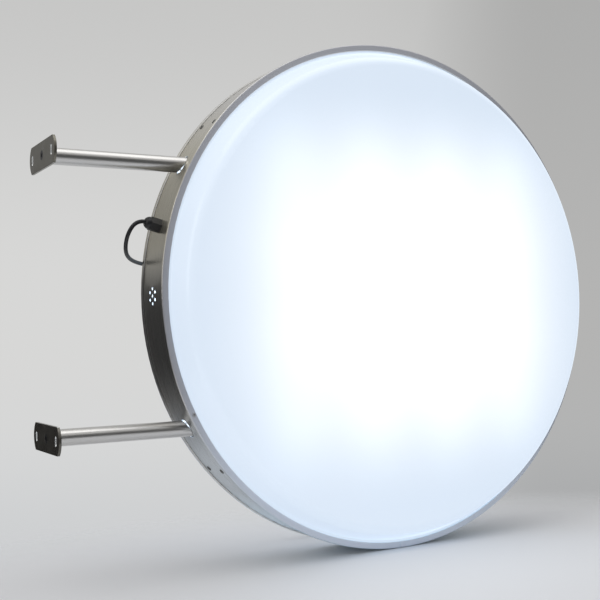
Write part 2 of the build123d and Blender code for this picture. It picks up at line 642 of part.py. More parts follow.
def panel_screws():
    screws = []
    grip = BRACKET_THICKNESS + PANEL_THICKNESS
    top = PANEL_FACE + BRACKET_THICKNESS
    for x, y in panel_screw_places():
        screws += placed(Pos(x, y, top), small_screw(grip))
    toward_wall = Rot(0, 90, 0)
    for y in RAIL_BRACKET_HEIGHTS:
        place = Pos(RAIL_INNER_SIDE + BRACKET_THICKNESS, y, rail_bracket_screw_z()) * toward_wall
        screws += placed(place, small_screw(BRACKET_THICKNESS + RAIL_THICKNESS))
    return screws


# ---- LED strips ---------------------------------------------------------------------------
STRIP_TOP = PANEL_FACE + STRIP_THICKNESS


def led_strip(x):
    half = STRIP_WIDTH / 2
    strip = block((x - half, -STRIP_LENGTH / 2, PANEL_FACE), (x + half, STRIP_LENGTH / 2, STRIP_TOP))
    strip = fillet(strip.edges().filter_by(Axis.Z), 2)
    for y in PUSH_RIVET_HEIGHTS:
        strip -= Pos(x, y, 0) * rod(PUSH_RIVET_RADIUS + THREAD_GAP, 0, 2 * STRIP_TOP)
    return strip


def led_places():
    return [Pos(x, y, STRIP_TOP) for x in STRIP_COLUMNS for y in LED_HEIGHTS]


def led_chips():
    chip = Box(CHIP_SIZE, CHIP_SIZE, CHIP_THICKNESS, align=BASE)
    return [place * chip for place in led_places()]


def led_lenses():
    rise = LENS_HEIGHT - LENS_BRIM
    ball = (LENS_RADIUS ** 2 + rise ** 2) / (2 * rise)
    half_angle = math.asin(LENS_RADIUS / ball) / 2
    shoulder = (ball * math.sin(half_angle), LENS_HEIGHT - ball + ball * math.cos(half_angle))
    edges = [
        Line((LENS_POCKET_RADIUS, 0), (LENS_RADIUS, 0)),
        Line((LENS_RADIUS, 0), (LENS_RADIUS, LENS_BRIM)),
        ThreePointArc((LENS_RADIUS, LENS_BRIM), shoulder, (0, LENS_HEIGHT)),
        Line((0, LENS_HEIGHT), (0, LENS_POCKET_HEIGHT)),
        Line((0, LENS_POCKET_HEIGHT), (LENS_POCKET_RADIUS, LENS_POCKET_HEIGHT)),
        Line((LENS_POCKET_RADIUS, LENS_POCKET_HEIGHT), (LENS_POCKET_RADIUS, 0)),
    ]
    lens = revolve(Plane.XZ * make_face(edges), Axis.Z)
    return [place * lens for place in led_places()]


def push_rivets():
    head = STRIP_TOP + PUSH_RIVET_HEAD_HEIGHT
    outline = [
        (0, -head), (PUSH_RIVET_HEAD_RADIUS, -head), (PUSH_RIVET_HEAD_RADIUS, -STRIP_TOP),
        (PUSH_RIVET_RADIUS, -STRIP_TOP), (PUSH_RIVET_RADIUS, STRIP_TOP),
        (PUSH_RIVET_HEAD_RADIUS, STRIP_TOP), (PUSH_RIVET_HEAD_RADIUS, head), (0, head),
    ]
    rivet = turned(outline)
    return [Pos(x, y, 0) * rivet for x, y in push_rivet_places()]


def strip_connectors():
    end = -STRIP_LENGTH / 2
    half = CONNECTOR_WIDTH / 2
    connectors = []
    for x in STRIP_COLUMNS:
        low = (x - half, end - CONNECTOR_OVERHANG, STRIP_TOP)
        high = (x + half, end - CONNECTOR_OVERHANG + CONNECTOR_LENGTH, STRIP_TOP + CONNECTOR_HEIGHT)
        front = block(low, high)
        connectors += [front, rear(front)]
    return connectors


def bus_lead():
    """The low voltage pair from the driver along the lower ends of one side's strips."""
    out = (ENTRY_X, DRIVER_LOW)
    below = (ENTRY_X, DRIVER_LOW - BUS_LEAD_DROP)
    corner = (STRIP_COLUMNS[0] - CONNECTOR_WIDTH / 2 - BUS_LEAD_CORNER, BUS_Y)
    last = (STRIP_COLUMNS[-1] + CONNECTOR_WIDTH / 2, BUS_Y)
    path = FilletPolyline(out, below, corner, last, radius=BUS_LEAD_BEND)
    start = Plane(origin=path @ 0, z_dir=path % 0)
    return Pos(0, 0, BUS_Z) * sweep(start * Circle(BUS_LEAD_RADIUS), path)


# ---- LED driver ---------------------------------------------------------------------------
def driver_case():
    half = DRIVER_WIDTH / 2
    inner = half - DRIVER_WALL
    low, high = DRIVER_LOW + DRIVER_CAP, DRIVER_TOP - DRIVER_CAP
    near, far = RAIL_INNER_SIDE, RAIL_INNER_SIDE + DRIVER_HEIGHT
    case = block((near, low, -half), (far, high, half))
    return case - block((near + DRIVER_WALL, low - 1, -inner), (far - DRIVER_WALL, high + 1, inner))


def driver_caps():
    half = DRIVER_WIDTH / 2
    near, far = RAIL_INNER_SIDE, RAIL_INNER_SIDE + DRIVER_HEIGHT
    ear = near + DRIVER_FOOT_THICKNESS
    caps = []
    ends = [(DRIVER_TOP - DRIVER_CAP, DRIVER_TOP, DRIVER_TOP + DRIVER_FOOT),
            (DRIVER_LOW + DRIVER_CAP, DRIVER_LOW, DRIVER_LOW - DRIVER_FOOT)]
    for inside, outside, tip in ends:
        cap = block((near, min(inside, outside), -half), (far, max(inside, outside), half))
        cap += block((near, min(inside, tip), -half / 2), (ear, max(inside, tip), half / 2))
        caps.append(cap)
    screws = [Pos(near, y, 0) * Rot(0, 90, 0) for y in driver_screw_heights()]
    hole = rod(SMALL_SCREW_RADIUS + HOLE_PLAY, -DRIVER_HEIGHT, DRIVER_HEIGHT)
    caps = [cap - place * hole for cap, place in zip(caps, screws)]
    deep = 2 * DRIVER_CAP
    supply = Pos(ENTRY_X, DRIVER_TOP, 0) * Rot(-90, 0, 0) * rod(LEAD_RADIUS + THREAD_GAP, -deep, deep)
    caps[0] -= supply
    for side in (1, -1):
        bus = Pos(ENTRY_X, DRIVER_LOW, side * BUS_Z) * Rot(-90, 0, 0)
        caps[1] -= bus * rod(BUS_LEAD_RADIUS / 2, -deep, deep)
    return caps


def driver_board():
    """The circuit board with its transformer, capacitors and chokes, as one assembled board."""
    low = RAIL_INNER_SIDE + DRIVER_WALL + DRIVER_BOARD_LIFT
    top = low + DRIVER_BOARD_THICKNESS
    half = DRIVER_WIDTH / 2 - DRIVER_WALL - DRIVER_BOARD_PLAY
    bottom = DRIVER_LOW + DRIVER_CAP + DRIVER_BOARD_PLAY
    head = DRIVER_TOP - DRIVER_CAP - DRIVER_BOARD_END_GAP
    room = RAIL_INNER_SIDE + DRIVER_HEIGHT - DRIVER_WALL - PART_HEAD_GAP
    middle = (bottom + head) / 2
    board = block((low, bottom, -half), (top, head, half))
    core = middle - TRANSFORMER_DROP
    core_half, core_side = TRANSFORMER_LENGTH / 2, TRANSFORMER_WIDTH / 2
    board += block((low, core - core_half, -core_side), (room, core + core_half, core_side))
    for rise, radius in CAPACITORS:
        for side in (1, -1):
            place = Pos(low, middle + rise, side * CAPACITOR_SIDE) * Rot(0, 90, 0)
            board += place * rod(radius, 0, room - low)
    choke = CHOKE_SIZE / 2
    board += block((low, head - CHOKE_SIZE, -choke), (top + CHOKE_HEIGHT, head, choke))
    return board


def driver_screws():
    screws = []
    for y in driver_screw_heights():
        place = Pos(RAIL_INNER_SIDE + DRIVER_FOOT_THICKNESS, y, 0) * Rot(0, 90, 0)
        screws += placed(place, small_screw(DRIVER_FOOT_THICKNESS + RAIL_THICKNESS))
    return screws


def supply_lead():
    """The mains lead's own end, from the gland's outer face through the rail to the driver."""
    turn = math.radians(GLAND_ANGLE)
    outer = (LEAD_START * math.cos(turn), LEAD_START * math.sin(turn))
    corner = (ENTRY_X, -ENTRY_X * GLAND_SLOPE)
    path = FilletPolyline(outer, corner, (ENTRY_X, DRIVER_TOP - DRIVER_CAP), radius=SUPPLY_BEND)
    start = Plane(origin=path @ 0, z_dir=path % 0)
    return sweep(start * Circle(LEAD_RADIUS), path)


# ---- Arms and wall plates, drawn in the sign's own frame ----------------------------------
def along_x(height):
    return Pos(0, 0, height) * Rot(0, 90, 0)


def arm(height):
    return along_x(height) * ring(ARM_RADIUS - ARM_WALL, ARM_RADIUS, ARM_START, ARM_END)


def insert(height, start, hole_radius):
    bore = hole_radius + THREAD_GAP
    body = ring(bore, ARM_RADIUS - ARM_WALL - WELD_GAP, start, start + INSERT_LENGTH)
    return along_x(height) * body


def wall_plate(height):
    half = PLATE_LENGTH / 2
    side = PLATE_HEIGHT / 2
    corner = half - PLATE_END_RADIUS + math.sqrt(PLATE_END_RADIUS ** 2 - side ** 2)
    outline = [
        Line((-corner, side), (corner, side)),
        ThreePointArc((corner, side), (half, 0), (corner, -side)),
        Line((corner, -side), (-corner, -side)),
        ThreePointArc((-corner, -side), (-half, 0), (-corner, side)),
    ]
    plate = extrude(make_face(outline), PLATE_THICKNESS)
    outer_edges = plate.edges().group_by(Axis.Z)
    plate = fillet(outer_edges[0] + outer_edges[-1], PLATE_EDGE_ROUND)
    slot = extrude(SlotOverall(SLOT_LENGTH, SLOT_WIDTH, rotation=90), 4 * PLATE_THICKNESS, both=True)
    for side in (1, -1):
        plate -= Pos(side * SLOT_SPACING / 2, 0, 0) * slot
    cut = countersunk_hole(PLATE_SCREW_RADIUS, PLATE_SCREW_HEAD_RADIUS, SWIVEL_PLAY, 2 * PLATE_THICKNESS)
    plate -= Rot(180, 0, 0) * cut
    on_wall = Plane(origin=(0, 0, height), x_dir=(0, 1, 0), z_dir=(1, 0, 0)).location
    return on_wall * plate


def plate_screw(height):
    screw = countersunk(PLATE_SCREW_RADIUS, PLATE_SCREW_HEAD_RADIUS, PLATE_SCREW_LENGTH)
    screw -= hexagon(PLATE_SCREW_SOCKET, -PLATE_SCREW_SOCKET_DEPTH, PLATE_SCREW_SOCKET_DEPTH)
    return Pos(THREAD_GAP, 0, height) * Rot(0, -90, 0) * screw


def arm_bolt(height):
    seat = WALL_TO_CENTRE + RAIL_INNER_SIDE + WASHER_THICKNESS
    bolt = rod(ARM_BOLT_RADIUS, -ARM_BOLT_LENGTH, 0) + hexagon(ARM_BOLT_HEAD, 0, ARM_BOLT_HEAD_HEIGHT)
    return Pos(seat, 0, height) * Rot(0, 90, 0) * bolt


def arm_washer(height):
    seat = WALL_TO_CENTRE + RAIL_INNER_SIDE
    return along_x(height) * ring(ARM_BOLT_RADIUS + HOLE_PLAY, WASHER_RADIUS, seat, seat + WASHER_THICKNESS)


# ---- Mains lead: free route, coil and plug, drawn in the sign's own frame ------------------
def gland_point(distance):
    turn = math.radians(GLAND_ANGLE)
    return (WALL_TO_CENTRE + distance * math.cos(turn), 0.0, distance * math.sin(turn))


TABLE_Z = FLOOR + LEAD_RADIUS + 0.1
COIL_OUTER_TURN = COIL_MIDDLE_RADIUS + (COIL_LAYER_TURNS[0] - 1) / 2 * COIL_PITCH
COIL_INNER_TURN = 2 * COIL_MIDDLE_RADIUS - COIL_OUTER_TURN
COIL_ENTRY = (COIL_CENTRE[0], COIL_CENTRE[1] - COIL_OUTER_TURN, TABLE_Z)
COIL_EXIT_Z = TABLE_Z + (len(COIL_LAYER_TURNS) - 1) * COIL_LAYER
COIL_EXIT = (COIL_CENTRE[0], COIL_CENTRE[1] - COIL_MIDDLE_RADIUS, COIL_EXIT_Z)
PLUG_Z = FLOOR + PLUG_THICKNESS / 2
RELIEF_START = (566.0, 107.0, PLUG_Z)

DROP_ROUTE = [
    gland_point(LEAD_START), gland_point(LEAD_START + 6.0),
    (107.6, -0.5, 86.0), (102.1, -0.8, 79.2), (98.8, 3.6, 68.0), (101.3, 15.3, 55.7),
    (110.9, 33.2, 48.6), (127.4, 51.7, 44.3), (145.5, 63.0, 41.5), (159.0, 71.0, 33.0),
    (172.5, 76.5, 18.5),
    (183.5, 79.5, 1.0), (194.0, 81.5, -21.0), (208.0, 84.0, -58.0), (224.0, 85.5, -100.0),
    (243.0, 87.5, -147.0), (266.0, 89.5, -193.0), (291.0, 91.5, -234.0), (318.0, 93.7, -268.0),
    (346.0, 95.6, -294.0), (375.0, 97.0, -312.5), (404.0, 97.9, -321.5), (431.0, 97.7, TABLE_Z),
    (457.0, COIL_ENTRY[1], TABLE_Z), COIL_ENTRY,
]
TAIL_ROUTE = [
    COIL_EXIT, (499.0, 102.4, COIL_EXIT_Z + 0.3), (518.5, 104.2, COIL_EXIT_Z - 2.5),
    (536.0, 106.0, PLUG_Z - 1.0), (551.5, 107.0, PLUG_Z), RELIEF_START,
]


def arc_radii(route, least_diameters=5):
    """One fillet radius for each corner: 0.45 of the shorter run over the tangent of half the turn."""
    points = [Vector(*point) for point in route]
    radii = []
    for before, here, after in zip(points, points[1:], points[2:]):
        run_in, run_out = here - before, after - here
        turn = math.radians(run_in.get_angle(run_out))
        radii.append(0.45 * min(run_in.length, run_out.length) / math.tan(turn / 2))
    tightest = min(radii) / (2 * LEAD_RADIUS)
    print("radii mm", [round(radius, 1) for radius in radii], "tightest", round(tightest, 1), "diameters")
    if tightest < least_diameters:
        print("note: tighter than", least_diameters, "diameters")
    return radii


def lead_tube(name, route):
    path = FilletPolyline(*route, radius=arc_radii(route))
    start = Plane(origin=path @ 0, z_dir=path % 0)
    tube = sweep(start * Circle(LEAD_RADIUS), path)
    expected = math.pi * LEAD_RADIUS ** 2 * path.length
    print(name, "length", round(path.length, 1), "volume over expected", round(tube.volume / expected, 5))
    return tube, path.length


def coil_length():
    return 2 * math.pi * COIL_MIDDLE_RADIUS * sum(COIL_LAYER_TURNS)


def lead_coil():
    inner = COIL_INNER_TURN - LEAD_RADIUS - COIL_SLACK
    outer = COIL_OUTER_TURN + LEAD_RADIUS + COIL_SLACK
    top = COIL_EXIT_Z + LEAD_RADIUS + COIL_SLACK
    return Pos(COIL_CENTRE[0], COIL_CENTRE[1], 0) * ring(inner, outer, FLOOR, top)


PLUG_PLACE = Plane(origin=RELIEF_START, x_dir=(0, 1, 0), z_dir=(1, 0, 0)).location


def plug_relief():
    """The tapered sleeve between the lead and the plug."""
    outline = [
        (0, 0), (RELIEF_END_RADIUS, 0), (RELIEF_ROOT_RADIUS, RELIEF_LENGTH), (0, RELIEF_LENGTH),
    ]
    return PLUG_PLACE * turned(outline)


def plug_body():
    neck = Pos(0, 0, RELIEF_LENGTH) * RectangleRounded(PLUG_NECK_WIDTH, PLUG_THICKNESS - 1.6, 3)
    waist = Pos(0, 0, RELIEF_LENGTH + PLUG_LENGTH * 0.6) * RectangleRounded(PLUG_WIDTH, PLUG_THICKNESS, 4)
    front = Pos(0, 0, RELIEF_LENGTH + PLUG_LENGTH) * RectangleRounded(PLUG_WIDTH, PLUG_THICKNESS, 4)
    body = loft([neck, waist], ruled=True) + loft([waist, front], ruled=True)
    face_at = RELIEF_LENGTH + PLUG_LENGTH
    socket = rod(PLUG_PIN_ROOT_RADIUS + THREAD_GAP, face_at - PLUG_PIN_ROOT - THREAD_GAP, face_at + 1)
    for place in pin_places():
        body -= place * socket
    return PLUG_PLACE * body


def pin_places():
    return [Pos(side * PLUG_PIN_SPACING / 2, 0, 0) for side in (1, -1)]


def plug_pins():
    face_at = RELIEF_LENGTH + PLUG_LENGTH
    shoulder = face_at + PLUG_PIN_SHOULDER
    pin = rod(PLUG_PIN_RADIUS, shoulder, face_at + PLUG_PIN_LENGTH)
    pin = fillet(pin.edges().group_by(Axis.Z)[-1], PLUG_PIN_RADIUS * 0.6)
    pin += rod(PLUG_PIN_ROOT_RADIUS, face_at - PLUG_PIN_ROOT, shoulder)
    return [PLUG_PLACE * place * pin for place in pin_places()]


# ---- Assembly -----------------------------------------------------------------------------
def assembly():
    """Every node by name: its solids, placed in the sign's own frame."""
    nodes = {}

    def box_part(name, *shapes):
        nodes[name] = [SIGN * shape for shape in shapes]

    box_part("side_band", side_band())
    front_pieces = {
        "seat_ring": [seat_ring()],
        "rim": [rim()],
        "face": [face()],
        "gasket": [gasket()],
        "rim_screws": rim_screws(),
        "led_lenses": led_lenses(),
        "led_chips": led_chips(),
        "bus_lead": [bus_lead()],
    }
    for number, x in enumerate(STRIP_COLUMNS, start=1):
        front_pieces[f"led_strip_{number}"] = [led_strip(x)]
    for name, shapes in front_pieces.items():
        box_part("front_" + name, *shapes)
        box_part("rear_" + name, *[rear(shape) for shape in shapes])
    box_part("mounting_rail", mounting_rail())
    box_part("rail_rivets", *rail_rivets())
    box_part("rail_grommet", rail_grommet())
    box_part("carrier_panel", carrier_panel())
    box_part("rail_brackets", *rail_brackets())
    box_part("edge_brackets", *edge_brackets())
    box_part("edge_rivets", *edge_rivets())
    box_part("panel_screws", *panel_screws())
    box_part("strip_push_rivets", *push_rivets())
    box_part("strip_connectors", *strip_connectors())
    box_part("driver_case", driver_case())
    box_part("driver_caps", *driver_caps())
    box_part("driver_board", driver_board())
    box_part("driver_screws", *driver_screws())
    box_part("supply_lead", supply_lead())
    on_band = outward(GLAND_ANGLE, BAND_OUTER)
    box_part("gland_body", on_band * gland_body())
    box_part("gland_dome_nut", on_band * gland_dome_nut())
    box_part("gland_seal", on_band * gland_seal())
    box_part("gland_lock_nut", on_band * gland_lock_nut())
    for name, height in (("upper", ARM_HEIGHT), ("lower", -ARM_HEIGHT)):
        nodes[name + "_arm"] = [arm(height)]
        outer = insert(height, ARM_START, PLATE_SCREW_RADIUS)
        inner = insert(height, ARM_END - INSERT_LENGTH, ARM_BOLT_RADIUS)
        nodes[name + "_arm_inserts"] = [outer, inner]
        nodes[name + "_wall_plate"] = [wall_plate(height)]
    nodes["arm_bolts"] = [arm_bolt(ARM_HEIGHT), arm_bolt(-ARM_HEIGHT)]
    nodes["arm_washers"] = [arm_washer(ARM_HEIGHT), arm_washer(-ARM_HEIGHT)]
    nodes["plate_screws"] = [plate_screw(ARM_HEIGHT), plate_screw(-ARM_HEIGHT)]
    drop, drop_length = lead_tube("mains_lead", DROP_ROUTE)
    tail, tail_length = lead_tube("lead_tail", TAIL_ROUTE)
    print("lead length", round(drop_length + coil_length() + tail_length, 1), "wanted", LEAD_LENGTH)
    nodes["mains_lead"] = [drop]
    nodes["lead_coil"] = [lead_coil()]
    nodes["lead_tail"] = [tail]
    nodes["plug_body"] = [plug_body() + plug_relief()]
    nodes["plug_pins"] = plug_pins()
    return nodes


def write(nodes):
    os.makedirs("parts", exist_ok=True)
    for name, shapes in nodes.items():
        solids = [solid for shape in shapes for solid in shape.solids()]
        export_step(solids[0] if len(solids) == 1 else Compound(solids), f"parts/{name}.step")


write(assembly())
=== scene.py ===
import json
import math

import bpy
from mathutils import Matrix, Vector


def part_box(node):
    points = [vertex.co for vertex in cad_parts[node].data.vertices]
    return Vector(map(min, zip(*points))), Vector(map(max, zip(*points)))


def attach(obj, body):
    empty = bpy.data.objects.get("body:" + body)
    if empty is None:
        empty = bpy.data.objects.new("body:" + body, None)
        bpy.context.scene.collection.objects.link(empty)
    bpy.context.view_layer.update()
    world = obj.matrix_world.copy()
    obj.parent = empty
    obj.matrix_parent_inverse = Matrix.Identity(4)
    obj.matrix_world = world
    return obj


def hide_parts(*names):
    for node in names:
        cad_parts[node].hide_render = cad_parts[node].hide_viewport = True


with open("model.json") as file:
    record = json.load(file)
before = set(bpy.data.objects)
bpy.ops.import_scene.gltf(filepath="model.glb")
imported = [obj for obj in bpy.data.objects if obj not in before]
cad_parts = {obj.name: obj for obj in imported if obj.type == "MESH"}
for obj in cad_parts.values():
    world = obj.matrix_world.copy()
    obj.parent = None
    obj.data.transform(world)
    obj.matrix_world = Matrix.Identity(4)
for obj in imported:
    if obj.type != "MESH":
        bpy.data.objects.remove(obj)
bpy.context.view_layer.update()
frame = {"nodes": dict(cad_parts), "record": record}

# Everything is in metres. The wall is the plane x = 0 and the floor is level; the disc stands upright
# with its middle at y = 0, its front face looks along -Y, and its lead hangs behind it.

# ---- Places read from the frame -------------------------------------------------------------
band_low, band_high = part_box("side_band")
CENTRE = (band_low + band_high) / 2
FLOOR_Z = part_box("front_rim")[0].z


# ---- Camera ---------------------------------------------------------------------------------
SENSOR_WIDTH = 36.0      # in millimetres, like the focal length
FOCAL_LENGTH = 59.40
CAMERA_PLACE = Vector((-0.29654, -1.08315, -0.05039))
CAMERA_RIGHT = Vector((0.86768, -0.49650, -0.02482))
CAMERA_FORWARD = Vector((0.49711, 0.86693, 0.03618))


def add_camera():
    data = bpy.data.cameras.new("camera")
    data.sensor_width = SENSOR_WIDTH
    data.lens = FOCAL_LENGTH
    camera = bpy.data.objects.new("camera", data)
    up = CAMERA_RIGHT.cross(CAMERA_FORWARD)
    turn = Matrix((CAMERA_RIGHT, up, -CAMERA_FORWARD)).transposed()
    camera.matrix_world = Matrix.Translation(CAMERA_PLACE) @ turn.to_4x4()
    bpy.context.scene.collection.objects.link(camera)
    bpy.context.scene.camera = camera


add_camera()


# ---- Mains lead: hangs behind the disc, then a put-away coil and the plug -------------------
LEAD_RADIUS = 0.0024
TABLE = FLOOR_Z + LEAD_RADIUS + 0.0001      # the middle of a lead that lies on the table
COIL_X, COIL_Y = 0.480, 0.130
COIL_RADIUS = 0.028
COIL_PITCH = 0.005                          # from one turn to the next beside it
COIL_LAYER = 0.0049                         # from one layer to the next above it
COIL_TURNS = 6
POINTS_PER_TURN = 18
TURN = 2 * math.pi

# from the gland's mouth, round its bend, behind the disc and down to the coil
DROP = [
    (0.11934, 0.0, 0.08675), (0.1154, 0.0, 0.0873), (0.1076, -0.0005, 0.0846),
    (0.1015, -0.0008, 0.0780), (0.0980, 0.0036, 0.0675), (0.1003, 0.0153, 0.0549),
    (0.1100, 0.0332, 0.0470), (0.1270, 0.0517, 0.0430), (0.1455, 0.0630, 0.0415),
    (0.1590, 0.0710, 0.0330), (0.1725, 0.0765, 0.0185), (0.1835, 0.0795, 0.0010),
    (0.1940, 0.0815, -0.0210), (0.2080, 0.0840, -0.0580), (0.2240, 0.0855, -0.1000),
    (0.2430, 0.0875, -0.1470), (0.2660, 0.0895, -0.1930), (0.2910, 0.0915, -0.2340),
    (0.3180, 0.0937, -0.2680), (0.3460, 0.0956, -0.2940), (0.3750, 0.0970, -0.3125),
    (0.4040, 0.0979, -0.3215), (0.4310, 0.0977, TABLE), (0.4570, 0.0970, TABLE),
]
# from the coil's top layer to the plug, which lies flat
TAIL_TOP = TABLE + 2 * COIL_LAYER
PLUG_Z = FLOOR_Z + 0.0068
TAIL = [
    (0.4990, 0.1024, TAIL_TOP + 0.0003), (0.5185, 0.1042, TAIL_TOP - 0.0025),
    (0.5360, 0.1060, PLUG_Z - 0.0010), (0.5515, 0.1070, PLUG_Z), (0.5660, 0.1070, PLUG_Z),
]
# The coil goes from track to track: where it starts, and for each step the turn it belongs to, how far
# before that turn's end it begins, and where it leads. A track is a place in pitches outward from
# the coil's radius, and a layer.
COIL_START = (1.0, 0.0)
COIL_STEPS = [
    (1, 0.12, 0.0, 0), (2, 0.25, -1.0, 0), (3, 0.39, -0.5, 1), (4, 0.53, 0.5, 1), (5, 0.67, 0.0, 2),
]
STEP_LENGTH = 0.12                          # in turns


def smooth(value):
    value = min(max(value, 0.0), 1.0)
    return value * value * (3 - 2 * value)


def coil_points():
    points = []
    for number in range(COIL_TURNS * POINTS_PER_TURN + 1):
        turns = number / POINTS_PER_TURN
        across, layer = COIL_START
        for ends, before, next_across, next_layer in COIL_STEPS:
            share = smooth((turns - (ends - before)) / STEP_LENGTH)
            across += share * (next_across - across)
            layer += share * (next_layer - layer)
        radius = COIL_RADIUS + across * COIL_PITCH
        angle = TURN * turns - TURN / 4
        x = COIL_X + radius * math.cos(angle)
        y = COIL_Y + radius * math.sin(angle)
        points.append((x, y, TABLE + layer * COIL_LAYER))
    return points


def add_lead():
    curve = bpy.data.curves.new("mains_lead_run", "CURVE")
    curve.dimensions = "3D"
    curve.bevel_depth = 1.0      # the points' own radius gives the lead's thickness
    curve.bevel_resolution = 6
    curve.resolution_u = 8
    curve.use_fill_caps = True
    spline = curve.splines.new("NURBS")
    route = DROP + coil_points() + TAIL
    spline.points.add(len(route) - 1)
    for point, place in zip(spline.points, route):
        point.co = (*place, 1.0)
        point.radius = LEAD_RADIUS
    spline.order_u = 3
    spline.use_endpoint_u = True
    lead = bpy.data.objects.new("mains_lead_run", curve)
    bpy.context.scene.collection.objects.link(lead)
    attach(lead, "sign")
    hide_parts("mains_lead", "lead_coil", "lead_tail")
    return lead


lead = add_lead()


# ---- Node trees -----------------------------------------------------------------------------
class Graph:
    """A node tree, with short calls for the few nodes that the materials and the world use."""

    def __init__(self, tree):
        self.tree = tree
        self.coordinates = self.node("TexCoord").outputs

    def node(self, kind):
        return self.tree.nodes.new("ShaderNode" + kind)

    def feed(self, socket, value):
        """Links another node's output to the socket, or sets the socket to a constant."""
        if isinstance(value, bpy.types.NodeSocket):
            self.tree.links.new(value, socket)
        else:
            socket.default_value = value

    def math(self, operation, *inputs):
        node = self.node("Math")
        node.operation = operation
        for socket, value in zip(node.inputs, inputs):
            self.feed(socket, value)
        return node.outputs[0]

    def add(self, first, *others):
        for other in others:
            first = self.math("ADD", first, other)
        return first

    def subtract(self, first, second):
        return self.math("SUBTRACT", first, second)

    def multiply(self, first, *others):
        for other in others:
            first = self.math("MULTIPLY", first, other)
        return first

    def absolute(self, value):
        return self.math("ABSOLUTE", value)

    def vector(self, operation, *inputs):
        node = self.node("VectorMath")
        node.operation = operation
        sockets = [node.inputs[0], node.inputs["Scale"]] if operation == "SCALE" else node.inputs
        for socket, value in zip(sockets, inputs):
            self.feed(socket, value)
        return node.outputs["Value" if operation in ("DOT_PRODUCT", "LENGTH") else "Vector"]

    def split(self, vector):
        node = self.node("SeparateXYZ")
        self.feed(node.inputs[0], vector)
        return node.outputs

    def spread(self, value, low, high, at=(0.35, 0.65)):
        """Stretches the range at, in which the value lies mostly, to low and high."""
        node = self.node("MapRange")
        for name, number in (("From Min", at[0]), ("From Max", at[1]), ("To Min", low), ("To Max", high)):
            node.inputs[name].default_value = number
        self.feed(node.inputs["Value"], value)
        return node.outputs["Result"]

    def smooth(self, value, low, high):
        """0 below low, 1 above high and a soft step between them (low may be the larger)."""
        node = self.node("MapRange")
        node.interpolation_type = "SMOOTHSTEP"
        node.inputs["From Min"].default_value = low
        node.inputs["From Max"].default_value = high
        self.feed(node.inputs["Value"], value)
        return node.outputs["Result"]

    def ramp(self, value, *stops):
        node = self.node("ValToRGB")
        ramp = node.color_ramp
        while len(ramp.elements) < len(stops):
            ramp.elements.new(0.5)
        for element, (position, colour) in zip(ramp.elements, stops):
            element.position = position
            element.color = (*colour, 1)
        self.feed(node.inputs["Fac"], value)
        return node.outputs["Color"]

    def mix(self, factor, first, second):
        """The first colour where factor is 0, the second where it is 1; each is a tuple or a socket."""
        node = self.node("Mix")
        node.data_type = "RGBA"
        self.feed(node.inputs["Factor"], factor)
        for name, colour in (("A", first), ("B", second)):
            self.feed(node.inputs[name], (*colour, 1) if isinstance(colour, tuple) else colour)
        return node.outputs["Result"]


class Surface(Graph):
    """A new material's node tree."""

    def __init__(self, name):
        self.material = bpy.data.materials.new(name)
        self.material.use_nodes = True
        super().__init__(self.material.node_tree)
        self.shader = self.tree.nodes["Principled BSDF"].inputs
        self.place = self.coordinates["Object"]

    def set(self, **values):
        for name, value in values.items():
            self.feed(self.shader[name.replace("_", " ").title().replace("Ior", "IOR")], value)

    def normal(self):
        return self.node("NewGeometry").outputs["Normal"]

    def noise(self, scale, detail, vector=None, roughness=0.5):
        node = self.node("TexNoise")
        node.inputs["Scale"].default_value = scale
        node.inputs["Detail"].default_value = detail
        node.inputs["Roughness"].default_value = roughness
        self.feed(node.inputs["Vector"], self.place if vector is None else vector)
        return node.outputs["Fac"]

    def grain(self, scales):
        """Noise with its own scale along each axis: lines that run along the axis with the least."""
        node = self.node("Mapping")
        node.inputs["Scale"].default_value = scales
        self.feed(node.inputs["Vector"], self.place)
        return self.noise(1.0, 4.0, node.outputs[0], 0.6)

    def vary(self, value, base, change):
        """The base colour, darker or lighter by up to the share change, as the value says."""
        darker = tuple(channel * (1 - change) for channel in base)
        lighter = tuple(min(1.0, channel * (1 + change)) for channel in base)
        return self.ramp(value, (0.3, darker), (0.7, lighter))

    def bump(self, height, depth, strength=0.5):
        node = self.node("Bump")
        node.inputs["Strength"].default_value = strength
        node.inputs["Distance"].default_value = depth
        self.feed(node.inputs["Height"], height)
        self.set(normal=node.outputs["Normal"])

    def inner_side(self):
        """1 on faces that look into the light box, 0 on all others."""
        away = self.vector("SUBTRACT", self.place, CENTRE)
        return self.math("LESS_THAN", self.vector("DOT_PRODUCT", away, self.normal()), 0.0)


# ---- Plain materials ------------------------------------------------------------------------
GRAIN_DEPTH = 0.00002
SKIN_DEPTH = 0.00003
TUBE_GRAIN_DEPTH = 0.000003
# scales of a grain's noise along the axes
AROUND_DISC = (3.0, 2600.0, 3.0)
AROUND_PIN = (2400.0, 60.0, 60.0)
ALONG_TUBE = (5.0, 1100.0, 1100.0)
ALONG_DRIVER = (1200.0, 1200.0, 12.0)
SPANGLE = (90.0, 90.0, 90.0)
EVEN = (700.0, 700.0, 700.0)


def brushed(name, base, roughness, scales, change=0.06, depth=GRAIN_DEPTH, metallic=1.0):
    """Bare metal with a grain and a cloudy shine."""
    graph = Surface(name)
    lines = graph.grain(scales)
    cloud = graph.noise(14.0, 3.0)
    mixed = graph.add(graph.multiply(lines, 0.6), graph.multiply(cloud, 0.4))
    graph.set(metallic=metallic, base_color=graph.vary(lines, base, change),
              roughness=graph.spread(mixed, roughness * 0.8, roughness * 1.25))
    graph.bump(lines, depth)
    return graph.material


